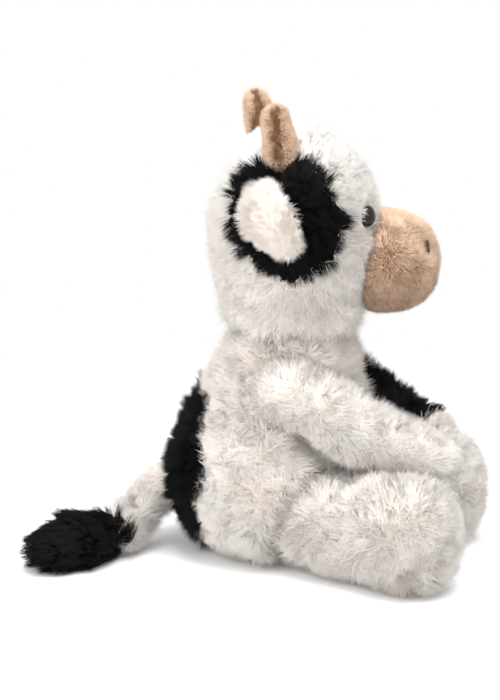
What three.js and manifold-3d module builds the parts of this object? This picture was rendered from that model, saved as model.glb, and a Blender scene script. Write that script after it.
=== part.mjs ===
// A plush cow that sits with its legs forward, in millimetres, +Z up and facing +X.
// Its origin is the middle of the flat seat under the torso. Each cover is pile cloth as thick
// as its pile, sewn round its own stuffing, and each limb has a round root in a hollow of the torso.

import * as THREE from "three";
import { mergeVertices } from "three/addons/utils/BufferGeometryUtils.js";
import Module from "manifold-3d";

const wasm = await Module();
wasm.setup();

// Sizes shared by several pieces

const clearance = 0.3; // between two pieces that touch
const swingGap = 1; // between the torso and the side of a limb that swings past it
const overrun = 4; // how far a cut runs past what it cuts
const longPile = 6; // wall of the white and black covers
const shortPile = 3.5; // wall of the tan covers

// Torso: level rings up to the shoulders, then the dome that carries the head.

const neck = { x: 21, z: 100, radius: 35, shoulderTurn: 80, domeSteps: 3 };
const torso = { depth: 98, width: 104, sides: 22 };
const torsoShares = [
  // height, depth, width and forward lean, from the seat up
  [0, 0.34, 0.3, 0],
  [0.025, 0.54, 0.49, 0.15],
  [0.075, 0.7, 0.66, 0.3],
  [0.15, 0.845, 0.82, 0.3],
  [0.25, 0.95, 0.94, 0.25],
  [0.36, 1, 1, 0.25],
  [0.48, 0.98, 0.98, 0.36],
  [0.6, 0.96, 0.92, 0.45],
  [0.73, 0.91, 0.84, 0.62],
  [0.86, 0.84, 0.765, 0.82],
];
const bag = { depth: 44, width: 60, height: 20, x: -4, sides: 14 };
const wad = { radius: 14, bottom: 18, top: 43, nodRoom: 18, sides: 16, steps: 2 };

// Head: level rings round an upright line, in a frame that stands on the neck and looks along +X.

const head = { depth: 86, width: 92, height: 112, rise: 14, forward: 1.6, turn: 18, sides: 22 };
const headShares = [
  // height, depth and width, from the chin up
  [0, 0, 0],
  [0.02, 0.6, 0.575],
  [0.06, 0.69, 0.665],
  [0.12, 0.775, 0.75],
  [0.2, 0.85, 0.84],
  [0.3, 0.92, 0.925],
  [0.4, 0.97, 0.98],
  [0.5, 1, 1],
  [0.6, 0.995, 1],
  [0.7, 0.945, 0.96],
  [0.8, 0.845, 0.87],
  [0.88, 0.7, 0.73],
  [0.95, 0.49, 0.52],
  [0.988, 0.24, 0.26],
  [1, 0, 0],
];

// Eyes, ears and horns sit at shares of the head's own height.
const headLevel = (share) => head.rise + share * head.height;

const muzzle = { width: 68, height: 52, back: 22, front: 57, cap: 19.5, z: 54, droop: 3, sides: 16, steps: 3 };
const muzzleShares = [
  // width and height, from inside the head forward
  [0.8, 0.8],
  [0.97, 0.95],
  [1, 1],
  [0.94, 0.95],
];
const nostril = { width: 7, height: 4.6, depth: 3, spacing: 27, z: 60, turn: 24, rise: 14, sides: 10 };
const horn = { radius: 10, x: -7, spacing: 52, height: 42, lean: 6, splay: 6, sides: 10, steps: 3 };
horn.levelShare = 76 / 112;
const hornShares = [
  // width and height, from the root up
  [1, 1],
  [0.98, 0.98],
  [0.88, 0.88],
  [0.76, 0.76],
];
const eye = { radius: 5.6, dome: 4.2, sunk: 3.4, flange: 0.9, turn: 31, rise: 8, sides: 12, domeSteps: 3 };
eye.levelShare = 61 / 112;
const shank = { radius: 2.1, length: 12, ridge: 0.35, ridges: 3 };
const washer = { radius: 7, thick: 1.6, collar: 1.2, collarRadius: 3.6, slack: 1.4 };
const ear = { width: 30, thick: 8, cup: 3.2, droop: 4, sides: 10, steps: 5 };
ear.rootLevelShare = 83 / 112;
ear.tipLevelShare = 55 / 112;
ear.root = { x: -24, y: -35, z: headLevel(ear.rootLevelShare) };
ear.tip = { x: -9, y: -53, z: headLevel(ear.tipLevelShare) };
const earShares = [[0.62], [0.86], [0.98], [1], [0.93], [0.76], [0.45]];

// Limbs: each path runs from the middle of its round root to the middle of its round end.

const arm = { root: 17, width: 35, height: 36, cap: 13, length: 80, sag: 3.5, sides: 12, steps: 4 };
arm.shoulder = { x: 27, y: -37, z: 94 };
arm.drop = { right: 26.5, left: 24 };
arm.turn = { right: 7.5, left: -24 };
arm.lift = { right: 60, left: 45, lean: { right: 37, left: 40 } };
const armShares = [
  // width and height, after the root
  [1, 1],
  [0.98, 0.98],
  [0.92, 0.9],
  [0.84, 0.8],
];
const leg = { root: 24, width: 49, height: 54, cap: 22, length: 65, rise: 1.9, sides: 16, steps: 4 };
leg.hip = { x: 35, y: -28, z: 27 };
leg.turn = { right: -26.5, left: 2 };
leg.swing = { right: 20, left: 20 };
const legShares = [
  // width and height, after the root
  [1, 1],
  [0.98, 1.01],
  [1, 1.06],
  [1.02, 1.12],
];
const tail = { radius: 10.5, cap: 5, wall: 5, swing: { least: -45, most: 10 }, sides: 12, steps: 5 };
tail.root = { x: -42, z: 33 };
tail.end = { x: -71, y: -34, z: 11.5 };
tail.firstReach = { x: -11, y: -3, z: -9 };
const tailShares = [
  [1, 1],
  [1, 1],
  [0.98, 0.98],
];
const tuft = { width: 29, height: 24, length: 30, cap: 13, turn: 228, sides: 12, steps: 3 };
const tuftShares = [
  // width and height, after the root
  [0.82, 0.9],
  [0.97, 0.98],
  [1, 1],
  [0.74, 0.74],
];

// Black panels: a wavy round outline, measured across the way each one faces.

const backPatch = { width: 86, height: 90, z: 46 };
const headPatch = { width: 70, height: 68, x: -2, z: 83, turn: -100 };
const armPatch = { width: 44, height: 50, alongShare: 0.66 };
const waveShares = [1, 0.94, 1.02, 0.92, 1.04, 0.97, 0.93, 1.03, 0.95, 1.02, 0.92, 0.98];

// Materials

const cloth = (colour, roughness) => new THREE.MeshStandardMaterial({ color: colour, roughness, metalness: 0 });
const whitePlush = cloth(0xf1ece8, 0.95);
const blackPlush = cloth(0x0c0c0d, 0.95);
const tanPlush = cloth(0xb8977c, 0.9);
const brownThread = cloth(0x5b4335, 0.8);
const fibre = cloth(0xf6f6f4, 1);
const beanCloth = cloth(0xd9d4cb, 0.9);
const blackPlastic = cloth(0x111214, 0.12);
const whitePlastic = cloth(0xe8e8e6, 0.5);

// Directions and places

const radians = THREE.MathUtils.degToRad;
const vector = (x, y, z) => new THREE.Vector3(x, y, z);
const upward = vector(0, 0, 1);
const onSide = ({ x, y, z }, side) => vector(x, side === "left" ? -y : y, z);

// A level direction at a turn from +X, or one that drops below the level.
function heading(turn, drop = 0) {
  const [level, down] = [Math.cos(radians(drop)), Math.sin(radians(drop))];
  return vector(Math.cos(radians(turn)) * level, Math.sin(radians(turn)) * level, -down);
}

// A frame whose +Z is the way out and whose +Y is as near upright as can be.
function frameAt(position, out, upright = upward) {
  const right = vector(0, 0, 0).crossVectors(upright, out).normalize();
  const up = vector(0, 0, 0).crossVectors(out, right).normalize();
  return new THREE.Matrix4().makeBasis(right, up, out.clone().normalize()).setPosition(position);
}

// Turning shapes into solids, and solids into named meshes

function solid(geometry) {
  const loose = (geometry.index ? geometry.toNonIndexed() : geometry).getAttribute("position");
  const merged = mergeVertices(new THREE.BufferGeometry().setAttribute("position", loose), 1e-4);
  const corners = merged.index.array;
  const kept = [];
  for (let i = 0; i < corners.length; i += 3) {
    const [a, b, c] = [corners[i], corners[i + 1], corners[i + 2]];
    if (a !== b && b !== c && c !== a) kept.push(a, b, c);
  }
  return new wasm.Manifold(
    new wasm.Mesh({ numProp: 3, vertProperties: merged.attributes.position.array, triVerts: new Uint32Array(kept) }),
  );
}

function mesh(name, shape, material) {
  const made = shape.getMesh();
  const geometry = new THREE.BufferGeometry();
  geometry.setAttribute("position", new THREE.BufferAttribute(made.vertProperties, 3));
  geometry.setIndex(new THREE.BufferAttribute(made.triVerts, 1));
  geometry.computeVertexNormals();
  const piece = new THREE.Mesh(geometry, material);
  piece.name = name;
  return piece;
}

const cut = (shape, cutters) => cutters.reduce((rest, cutter) => rest.subtract(cutter), shape);

// Cuts can leave thin flakes beside the piece: this keeps the piece itself.
const largest = (shape) => shape.decompose().sort((a, b) => b.volume() - a.volume())[0];

// Smooth values between the rows of a table, for a share from 0 to 1 of the way through it.
function between(rows, share) {
  const last = rows.length - 1;
  const i = Math.min(Math.floor(share * last), last - 1);
  const t = share * last - i;
  const row = (n) => rows[Math.min(Math.max(n, 0), last)];
  return row(i).map((value, k) => {
    const start = (row(i + 1)[k] - row(i - 1)[k]) / 2;
    const end = (row(i + 2)[k] - value) / 2;
    const rise = row(i + 1)[k] - value;
    return value + t * (start + t * (3 * rise - 2 * start - end + t * (start + end - 2 * rise)));
  });
}

// A closed surface through rings of points, with a pole past the first ring and one past the last.
function loft(firstPole, rings, lastPole) {
  const around = rings[0].length;
  const points = [firstPole, ...rings.flat(), lastPole];
  const last = points.length - 1;
  const faces = [];
  for (let i = 0; i < around; i++) {
    const next = (i + 1) % around;
    faces.push(0, 1 + next, 1 + i);
    faces.push(last, last - around + i, last - around + next);
    for (let r = 0; r + 1 < rings.length; r++) {
      const [a, b] = [1 + r * around + i, 1 + r * around + next];
      faces.push(a, b, b + around, a, b + around, a + around);
    }
  }
  const geometry = new THREE.BufferGeometry().setFromPoints(points);
  geometry.setIndex(faces);
  return solid(geometry);
}

// Level rings, each { x, z, depth, width } with half sizes, moved in square to their slope by inset.
function stacked(levels, sides, inset) {
  const last = levels.length - 1;
  const moved = levels.map((level, i) => {
    const [below, above] = [levels[Math.max(i - 1, 0)], levels[Math.min(i + 1, last)]];
    const rise = above.z - below.z;
    const spread = (above.depth + above.width - below.depth - below.width) / 2;
    const slope = Math.hypot(rise, spread);
    const inward = (inset * rise) / slope;
    const lift = (inset * spread) / slope;
    return { x: level.x, z: level.z + lift, depth: level.depth - inward, width: level.width - inward };
  });
  const rings = moved.slice(1, -1).map(({ x, z, depth, width }) =>
    Array.from({ length: sides }, (_, i) => {
      const turn = (2 * Math.PI * i) / sides;
      return vector(x + depth * Math.cos(turn), width * Math.sin(turn), z);
    }),
  );
  return loft(vector(levels[0].x, 0, levels[0].z + inset), rings, vector(levels[last].x, 0, levels[last].z - inset));
}

// A stuffed form round a path: a ball behind its start, a body that swells by its table and a round
// cap past its end. With an opening, it runs straight out of its start by that much instead.
function limb(form, inset = 0, opening = 0) {
  const { path, root, width, height, cap, sides, steps, shares } = form;
  const curve = new THREE.CatmullRomCurve3(path);
  const rows = [[(2 * root) / width, (2 * root) / height], ...shares];
  const station = (share, beyond, scale) => {
    const [wide, high] = between(rows, share);
    const along = curve.getTangentAt(share);
    const side = vector(0, 0, 0).crossVectors(along, upward).normalize();
    const up = vector(0, 0, 0).crossVectors(side, along);
    return {
      centre: curve.getPointAt(share).addScaledVector(along, beyond),
      across: side.multiplyScalar(scale * ((wide * width) / 2 - inset)),
      upright: up.multiplyScalar(scale * ((high * height) / 2 - inset)),
    };
  };
  const turns = [Math.PI / 6, Math.PI / 3];
  const back = turns.map((turn) => station(0, (inset - root) * Math.cos(turn), Math.sin(turn)));
  const body = Array.from({ length: steps + 1 }, (_, i) => station(i / steps, 0, 1));
  const front = turns.toReversed().map((turn) => station(1, (cap - inset) * Math.cos(turn), Math.sin(turn)));
  const stations = [...(opening ? [station(0, -opening, 1)] : back), ...body, ...front];
  const rings = stations.map(({ centre, across, upright }) =>
    Array.from({ length: sides }, (_, i) => {
      const turn = (2 * Math.PI * i) / sides;
      return centre.clone().addScaledVector(across, Math.cos(turn)).addScaledVector(upright, -Math.sin(turn));
    }),
  );
  return loft(station(0, opening ? -opening : inset - root, 0).centre, rings, station(1, cap - inset, 0).centre);
}

// A cover open at its root and the stuffing that fills it, both cut by what the form is sewn against.
function sewn(form, wall, cutters) {
  const opening = form.root + overrun;
  const outer = limb(form);
  const cover = outer.subtract(limb(form, wall, opening));
  const fill = limb(form, wall + clearance, opening).intersect(outer);
  return { cover: largest(cut(cover, cutters)), fill: largest(cut(fill, cutters)) };
}

// A shape turned round Z from points of radius and height.
function turned(profile, sides) {
  const points = profile.map(([radius, height]) => new THREE.Vector2(radius, height));
  return solid(new THREE.LatheGeometry(points, sides).rotateX(Math.PI / 2));
}

function ball(radius, centre, sides = 14) {
  const sphere = new THREE.SphereGeometry(radius, sides, sides / 2).rotateX(Math.PI / 2);
  return solid(sphere.translate(centre.x, centre.y, centre.z));
}

// A ball whose flats, not its corners, lie at the radius, so that what fits in it can turn.
const socket = (radius, centre, sides = 14) => ball(radius / Math.cos(Math.PI / sides) ** 2, centre, sides);

function ellipsoid(width, height, depth, sides) {
  return new THREE.SphereGeometry(1, sides, sides / 2).scale(width / 2, height / 2, depth / 2);
}

// Cuts a black panel out of a white cover, straight through along the frame's +Z.
function inlaid(cover, { width, height }, frame, reach) {
  const column = (margin) => {
    const around = waveShares.map((share, i) => {
      const turn = (2 * Math.PI * i) / waveShares.length;
      const across = (share * width) / 2 + margin;
      const along = (share * height) / 2 + margin;
      return vector(across * Math.cos(turn), along * Math.sin(turn), 0);
    });
    const shape = new THREE.Shape(around.map((point) => new THREE.Vector2(point.x, point.y)));
    return solid(new THREE.ExtrudeGeometry(shape, { depth: reach, bevelEnabled: false }).applyMatrix4(frame));
  };
  return { rest: largest(cover.subtract(column(clearance))), panel: largest(cover.intersect(column(0))) };
}

// Where a line out of a solid leaves it
function surfacePoint(shape, from, direction) {
  const target = mesh("target", shape, new THREE.MeshBasicMaterial({ side: THREE.DoubleSide }));
  return new THREE.Raycaster(from, direction.clone().normalize()).intersectObject(target).at(-1).point;
}

// Limb forms, needed first because their roots hollow the torso

const sides = ["right", "left"];
const reach = torso.depth + torso.width + arm.length;
const floor = solid(new THREE.BoxGeometry(2 * reach, 2 * reach, reach).translate(0, 0, -reach / 2));

function armForm(side) {
  const shoulder = onSide(arm.shoulder, side);
  const end = heading(arm.turn[side], arm.drop[side]).multiplyScalar(arm.length).add(shoulder);
  const middle = shoulder.clone().lerp(end, 0.5).addScaledVector(upward, -arm.sag);
  return { ...arm, path: [shoulder, middle, end], shares: armShares };
}

function legForm(side, swing = 0) {
  const hip = onSide(leg.hip, side);
  const turn = leg.turn[side] + (side === "left" ? swing : -swing);
  const end = heading(turn).multiplyScalar(leg.length).add(hip).addScaledVector(upward, leg.rise);
  return { ...leg, path: [hip, hip.clone().lerp(end, 0.5), end], shares: legShares };
}

const tailRoot = vector(tail.root.x, 0, tail.root.z);
const tailEnd = vector(tail.end.x, tail.end.y, tail.end.z);
const tuftOut = heading(tuft.turn);
const tailBend = tailRoot.clone().add(tail.firstReach);
const tailForm = {
  ...tail,
  path: [tailRoot, tailBend, tailEnd.clone().addScaledVector(tuftOut, -tail.radius), tailEnd],
  root: tail.radius,
  width: 2 * tail.radius,
  height: 2 * tail.radius,
  shares: tailShares,
};
const tuftPoint = (share) => tailEnd.clone().addScaledVector(tuftOut, share * tuft.length);
const tuftForm = { ...tuft, path: [0, 0.5, 1].map(tuftPoint), root: tail.radius, shares: tuftShares };

// Hollows of the torso: round ones for the roots, and room for each leg to swing out

const hollows = [socket(tail.radius + clearance, tailRoot)];
for (const side of sides) {
  hollows.push(socket(arm.root + clearance, onSide(arm.shoulder, side)));
  hollows.push(socket(leg.root + clearance, onSide(leg.hip, side)));
  hollows.push(wasm.Manifold.hull([0, leg.swing[side]].map((swing) => limb(legForm(side, swing), -clearance))));
}

// Torso

function torsoForm(inset) {
  const edge = radians(neck.shoulderTurn);
  const shoulderZ = neck.z + neck.radius * Math.cos(edge);
  const levels = torsoShares.map(([height, depth, width, lean]) => ({
    x: lean * neck.x,
    z: height * shoulderZ,
    depth: (depth * torso.depth) / 2,
    width: (width * torso.width) / 2,
  }));
  for (let i = 0; i <= neck.domeSteps; i++) {
    const turn = edge * (1 - i / neck.domeSteps);
    const radius = neck.radius * Math.sin(turn);
    levels.push({ x: neck.x, z: neck.z + neck.radius * Math.cos(turn), depth: radius, width: radius });
  }
  const seatMiddle = { x: 0, z: 0, depth: 0, width: 0 };
  return stacked([seatMiddle, ...levels], torso.sides, inset);
}

// The wad of firm stuffing that runs up through the neck: a plug with a round top, turned from
// points on the neck's own middle. Its room in the head is a cone that lets the head nod on it.
function wadTop(top, edge, steps) {
  const points = [];
  for (let i = 0; i <= steps; i++) {
    const turn = edge * (1 - i / steps);
    points.push([top * Math.sin(turn), top * Math.cos(turn)]);
  }
  points.at(-1)[0] = 0;
  return points;
}

const wadPlug = (gap) => {
  const [wide, bottom, top] = [wad.radius + gap, wad.bottom - gap, wad.top + gap];
  return turned([[0, bottom], [wide, bottom], ...wadTop(top, Math.asin(wide / top), wad.steps)], wad.sides);
};
const wadRoomEdge = Math.asin(wad.radius / wad.top) + radians(wad.nodRoom);
const wadRoom = turned([[0, 0], ...wadTop(wad.top + 2 * clearance, wadRoomEdge, 2 * wad.steps)], wad.sides);

const group = new THREE.Group();
const neckMiddle = vector(neck.x, 0, neck.z);
const torsoCuts = [...hollows, wadPlug(clearance).translate(neckMiddle.toArray())];
const torsoCover = largest(cut(torsoForm(0).subtract(torsoForm(longPile)), torsoCuts));
const back = inlaid(torsoCover, backPatch, frameAt(vector(0, 0, backPatch.z), vector(-1, 0, 0)), torso.depth);
group.add(mesh("torso_cover", back.rest, whitePlush));
group.add(mesh("back_patch", back.panel, blackPlush));

const bagSpace = (gap) => {
  const [depth, width, height] = [bag.depth, bag.width, bag.height].map((size) => size + 2 * gap);
  return solid(ellipsoid(depth, width, height, bag.sides).translate(bag.x, 0, longPile + bag.height / 2));
};
const torsoInside = torsoForm(longPile + clearance);
group.add(mesh("bean_bag", bagSpace(0).intersect(torsoInside), beanCloth));
group.add(mesh("torso_fill", largest(cut(torsoInside, [bagSpace(clearance), ...torsoCuts])), fibre));
group.add(mesh("neck_fill", wadPlug(0).translate(neckMiddle.toArray()), fibre));

// Head, in its own frame: the origin is the middle of the neck's dome and +X is where it looks

const headFrame = new THREE.Group();
headFrame.position.copy(neckMiddle);
headFrame.rotation.z = radians(head.turn);
group.add(headFrame);

function headForm(inset) {
  const levels = headShares.map(([height, depth, width]) => ({
    x: head.forward,
    z: head.rise + height * head.height,
    depth: (depth * head.depth) / 2,
    width: (width * head.width) / 2,
  }));
  return stacked(levels, head.sides, inset);
}

const headOuter = headForm(0);
const headSkin = headForm(-clearance);
const headCuts = [socket(neck.radius + clearance, vector(0, 0, 0), torso.sides), wadRoom];
const headFillCuts = [...headCuts];

// Eyes: a domed button whose ridged shank goes through the cover into a washer behind it

function eyeForm() {
  const profile = [[0, -shank.length]];
  const pitch = (shank.length - eye.flange) / (2 * shank.ridges);
  for (let i = 0; i < 2 * shank.ridges; i++) {
    profile.push([shank.radius + (i % 2 ? shank.ridge : 0), i * pitch - shank.length]);
  }
  profile.push([shank.radius, -eye.flange], [eye.radius, -eye.flange]);
  for (let i = 0; i < eye.domeSteps; i++) {
    const turn = (i * Math.PI) / 2 / eye.domeSteps;
    profile.push([eye.radius * Math.cos(turn), eye.dome * Math.sin(turn)]);
  }
  return turned([...profile, [0, eye.dome]], eye.sides);
}

const shankHole = shank.radius + shank.ridge + clearance;

function eyeRecess() {
  const [deep, seat, out] = [-shank.length - clearance, -eye.flange - clearance, eye.sunk + overrun];
  const wide = eye.radius + clearance;
  return turned([[0, deep], [shankHole, deep], [shankHole, seat], [wide, seat], [wide, out], [0, out]], eye.sides);
}

function washerForm(gap) {
  const [top, under, collarUnder] = [gap, -washer.thick - gap, -washer.thick - washer.collar - gap];
  const [wide, narrow] = [washer.radius + gap, washer.collarRadius + gap];
  const rim = [[narrow, collarUnder], [narrow, under], [wide, under], [wide, top]];
  const hole = gap ? 0 : shankHole;
  const profile = [[hole, collarUnder], ...rim, [hole, top]];
  return turned(gap ? profile : [...profile, profile[0]], eye.sides);
}

for (const side of sides) {
  const out = heading(side === "left" ? eye.turn : -eye.turn, -eye.rise);
  const skin = surfacePoint(headOuter, vector(head.forward, 0, headLevel(eye.levelShare)), out);
  const eyePlace = frameAt(skin.clone().addScaledVector(out, -eye.sunk), out).elements;
  const washerPlace = frameAt(skin.clone().addScaledVector(out, -longPile - washer.slack), out).elements;
  headFrame.add(mesh(`eye_${side}`, eyeForm().transform(eyePlace), blackPlastic));
  headFrame.add(mesh(`eye_washer_${side}`, washerForm(0).transform(washerPlace), whitePlastic));
  headCuts.push(eyeRecess().transform(eyePlace));
  headFillCuts.push(eyeRecess().transform(eyePlace), washerForm(clearance).transform(washerPlace));
}

const headCover = largest(cut(headOuter.subtract(headForm(longPile)), headCuts));
const patchPlace = frameAt(vector(headPatch.x, 0, headPatch.z), heading(headPatch.turn));
const face = inlaid(headCover, headPatch, patchPlace, head.width);
headFrame.add(mesh("head_cover", face.rest, whitePlush));
headFrame.add(mesh("head_patch", face.panel, blackPlush));
headFrame.add(mesh("head_fill", largest(cut(headForm(longPile + clearance), headFillCuts)), fibre));

// Ears: an outer layer and a lining, each half of one cupped leaf that droops from its root seam

function earLayer(side, layer) {
  const [root, tip] = [onSide(ear.root, side), onSide(ear.tip, side)];
  const down = tip.clone().sub(root);
  const across = vector(0, 0, 0).crossVectors(down, vector(root.x, root.y, 0)).normalize();
  const out = vector(0, 0, 0).crossVectors(across, down).normalize();
  const sign = layer === "outer" ? 1 : -1;
  const rings = Array.from({ length: ear.steps + 1 }, (_, i) => {
    const share = i / ear.steps;
    const half = (between(earShares, share)[0] * ear.width) / 2;
    const bow = ear.droop * Math.sin(Math.PI * share);
    const ring = Array.from({ length: ear.sides }, (_, k) => {
      const turn = (2 * Math.PI * k) / ear.sides;
      const wide = Math.cos(turn);
      const thick = (ear.thick * (1 - 0.6 * wide ** 2) * (1 + Math.sin(turn))) / 4;
      const lift = sign * (clearance / 2 + thick) + bow - ear.cup * share * wide ** 2;
      return root.clone().addScaledVector(down, share).addScaledVector(across, half * wide).addScaledVector(out, lift);
    });
    return sign > 0 ? ring.reverse() : ring;
  });
  const middle = (ring) => ring.reduce((sum, point) => sum.add(point), vector(0, 0, 0)).divideScalar(ring.length);
  const overhang = down.clone().normalize().multiplyScalar(ear.thick / 4);
  return loft(middle(rings[0]).sub(overhang), rings, middle(rings.at(-1)).add(overhang));
}

for (const side of sides) {
  for (const layer of ["outer", "lining"]) {
    const leaf = largest(earLayer(side, layer).subtract(headSkin));
    headFrame.add(mesh(`ear_${layer}_${side}`, leaf, whitePlush));
  }
}

// Muzzle and its sewn nostrils

const muzzlePoint = (x, rise) => vector(x, 0, muzzle.z + rise);
const muzzleForm = {
  ...muzzle,
  path: [
    muzzlePoint(muzzle.back, muzzle.droop / 2),
    muzzlePoint((muzzle.back + muzzle.front) / 2, 0),
    muzzlePoint(muzzle.front, -muzzle.droop / 2),
  ],
  root: muzzle.height / 3,
  shares: muzzleShares,
};
const muzzleSewn = sewn(muzzleForm, shortPile, [headSkin]);
const nostrilCuts = [];
for (const side of sides) {
  const flip = side === "left" ? 1 : -1;
  const out = heading(flip * nostril.turn, -nostril.rise);
  const from = vector(muzzle.front, (flip * nostril.spacing) / 2, nostril.z);
  const place = frameAt(surfacePoint(limb(muzzleForm), from, out), out);
  const pad = (gap) => {
    const [width, height, depth] = [nostril.width, nostril.height, nostril.depth].map((size) => size + 2 * gap);
    return solid(ellipsoid(width, height, depth, nostril.sides).applyMatrix4(place));
  };
  headFrame.add(mesh(`nostril_${side}`, pad(0), brownThread));
  nostrilCuts.push(pad(clearance));
}
headFrame.add(mesh("muzzle_cover", cut(muzzleSewn.cover, nostrilCuts), tanPlush));
headFrame.add(mesh("muzzle_fill", muzzleSewn.fill, fibre));

// Horns

for (const side of sides) {
  const flip = side === "left" ? 1 : -1;
  const hornPoint = (share) =>
    vector(
      horn.x - horn.lean * share ** 2,
      flip * (horn.spacing / 2 + horn.splay * share),
      headLevel(horn.levelShare) + horn.height * share,
    );
  const form = {
    ...horn,
    path: [0, 0.5, 1].map(hornPoint),
    root: horn.radius,
    width: 2 * horn.radius,
    height: 2 * horn.radius,
    cap: horn.radius * hornShares.at(-1)[0],
    shares: hornShares,
  };
  const { cover, fill } = sewn(form, shortPile, [headSkin]);
  headFrame.add(mesh(`horn_cover_${side}`, cover, tanPlush));
  headFrame.add(mesh(`horn_fill_${side}`, fill, fibre));
}

// Legs, flat where they rest on the floor, and arms, cut by the legs under them and by the torso at
// several angles of their lift, so that they clear it all the way

const torsoSkin = torsoForm(-swingGap);
const liftShares = [0, 0.33, 0.67, 1];

// The torso as a limb meets it, round the limb's own root, while the limb turns about that root
function torsoRound(radius, centre, axis, angles) {
  const there = new THREE.Matrix4().setPosition(centre);
  const home = there.clone().invert();
  const met = angles.map((angle) => {
    const turn = new THREE.Matrix4().makeRotationAxis(axis, radians(-angle));
    return torsoSkin.transform(there.clone().multiply(turn).multiply(home).elements);
  });
  return wasm.Manifold.union(met).subtract(ball(radius, centre));
}

// The axis that lifts an arm up and outward, by how far it leans from level to upright.
function liftAxis(side) {
  const lean = radians(arm.lift.lean[side]);
  return vector(0, -Math.cos(lean), (side === "left" ? 1 : -1) * Math.sin(lean));
}

for (const side of sides) {
  const legPieces = sewn(legForm(side), longPile, [floor]);
  group.add(mesh(`leg_cover_${side}`, legPieces.cover, whitePlush));
  group.add(mesh(`leg_fill_${side}`, legPieces.fill, fibre));
  const form = armForm(side);
  const lifts = liftShares.map((share) => share * arm.lift[side]);
  const torsoMet = torsoRound(arm.root, form.path[0], liftAxis(side), lifts);
  const armPieces = sewn(form, longPile, [torsoMet, limb(legForm(side), -clearance)]);
  group.add(mesh(`arm_fill_${side}`, armPieces.fill, fibre));
  if (side === "right") {
    group.add(mesh(`arm_cover_${side}`, armPieces.cover, whitePlush));
    continue;
  }
  const [shoulder, , end] = form.path;
  const along = end.clone().sub(shoulder).normalize();
  const across = vector(0, 0, 0).crossVectors(along, upward).normalize();
  const above = vector(0, 0, 0).crossVectors(across, along);
  const place = frameAt(shoulder.clone().lerp(end, armPatch.alongShare), above, along);
  const top = inlaid(armPieces.cover, armPatch, place, arm.height);
  group.add(mesh(`arm_cover_${side}`, top.rest, whitePlush));
  group.add(mesh(`arm_patch_${side}`, top.panel, blackPlush));
}

// Tail and its tuft

const tuftHollow = socket(tail.radius + clearance, tailEnd);
const { least, most } = tail.swing;
const tailMet = torsoRound(tail.radius, tailRoot, upward, [least, 0.5 * least, 0, most]);
const tailPieces = sewn(tailForm, tail.wall, [tuftHollow, tailMet, floor]);
const tuftPieces = sewn(tuftForm, tail.wall, [floor]);
group.add(mesh("tail_cover", tailPieces.cover, whitePlush));
group.add(mesh("tail_fill", tailPieces.fill, fibre));
group.add(mesh("tuft_cover", tuftPieces.cover, blackPlush));
group.add(mesh("tuft_fill", tuftPieces.fill, fibre));

export default group;
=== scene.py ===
import math

import bmesh
import bpy
import numpy as np
from mathutils import Matrix, Vector, noise
from mathutils.bvhtree import BVHTree
from mathutils.kdtree import KDTree


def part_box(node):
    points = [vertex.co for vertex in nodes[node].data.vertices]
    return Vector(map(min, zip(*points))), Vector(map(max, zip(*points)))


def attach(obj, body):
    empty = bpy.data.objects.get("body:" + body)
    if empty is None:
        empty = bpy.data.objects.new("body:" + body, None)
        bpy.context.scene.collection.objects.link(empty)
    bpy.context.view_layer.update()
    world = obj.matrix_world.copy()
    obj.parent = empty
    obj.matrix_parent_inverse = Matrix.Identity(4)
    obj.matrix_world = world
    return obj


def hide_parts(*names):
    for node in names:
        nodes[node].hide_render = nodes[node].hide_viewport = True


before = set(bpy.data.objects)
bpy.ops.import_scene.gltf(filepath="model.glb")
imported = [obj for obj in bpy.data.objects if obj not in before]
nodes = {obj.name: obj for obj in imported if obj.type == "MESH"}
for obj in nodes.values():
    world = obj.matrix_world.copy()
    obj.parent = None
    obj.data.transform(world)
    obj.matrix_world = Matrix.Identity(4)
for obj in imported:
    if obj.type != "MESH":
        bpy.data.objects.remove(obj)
noise.seed_set(7)  # the noise vectors would else shift with the clock
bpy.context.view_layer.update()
print("cow: frame loaded")

cameraSetup = {"turn": 10, "rise": 14, "distance": 1.1, "lens": 108.8, "sensor": 36, "target": (0, 0, 0.106)}


def linked(name, data):
    piece = bpy.data.objects.new(name, data)
    bpy.context.scene.collection.objects.link(piece)
    return piece


def placed(name, data, setup, target):
    # looks at the target from the turn, the rise and the distance given
    a, e = math.radians(setup["turn"]), math.radians(setup["rise"])
    back = Vector((math.sin(a) * math.cos(e), -math.cos(a) * math.cos(e), math.sin(e)))
    piece = linked(name, data)
    piece.location = Vector(target) + back * setup["distance"]
    piece.rotation_euler = back.to_track_quat("Z", "Y").to_euler()
    return piece


lens = bpy.data.cameras.new("photoCamera")
lens.lens = cameraSetup["lens"]
lens.sensor_width = cameraSetup["sensor"]
bpy.context.scene.camera = placed("photoCamera", lens, cameraSetup, cameraSetup["target"])


# small helpers
sides = {"right": -1, "left": 1}
noiseShift = {"soft": (3.1, 5.7, 1.3), "swirl": (2.3, 4.1, 6.7)}


def selectOnly(piece):
    bpy.ops.object.select_all(action="DESELECT")
    piece.select_set(True)
    bpy.context.view_layer.objects.active = piece


def joined(pieces):
    selectOnly(pieces[0])
    for piece in pieces[1:]:
        piece.select_set(True)
    if len(pieces) > 1:
        bpy.ops.object.join()
    return pieces[0]


def shaped(piece, name, kind, settings):
    modifier = piece.modifiers.new(name, kind)
    for key, value in settings.items():
        setattr(modifier, key, value)
    bpy.ops.object.modifier_apply(modifier=modifier.name)


def read(items, what, width=1, kind=np.int64):
    values = np.empty(len(items) * width, kind)
    items.foreach_get(what, values)
    return values.reshape(-1, width) if width > 1 else values


def coordinates(mesh):
    return read(mesh.vertices, "co", 3, float)


def setCoordinates(mesh, co):
    mesh.vertices.foreach_set("co", np.ascontiguousarray(co, dtype=np.float32).ravel())
    mesh.update()


def normalsOf(mesh):
    return np.array([v.normal for v in mesh.vertices])


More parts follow.
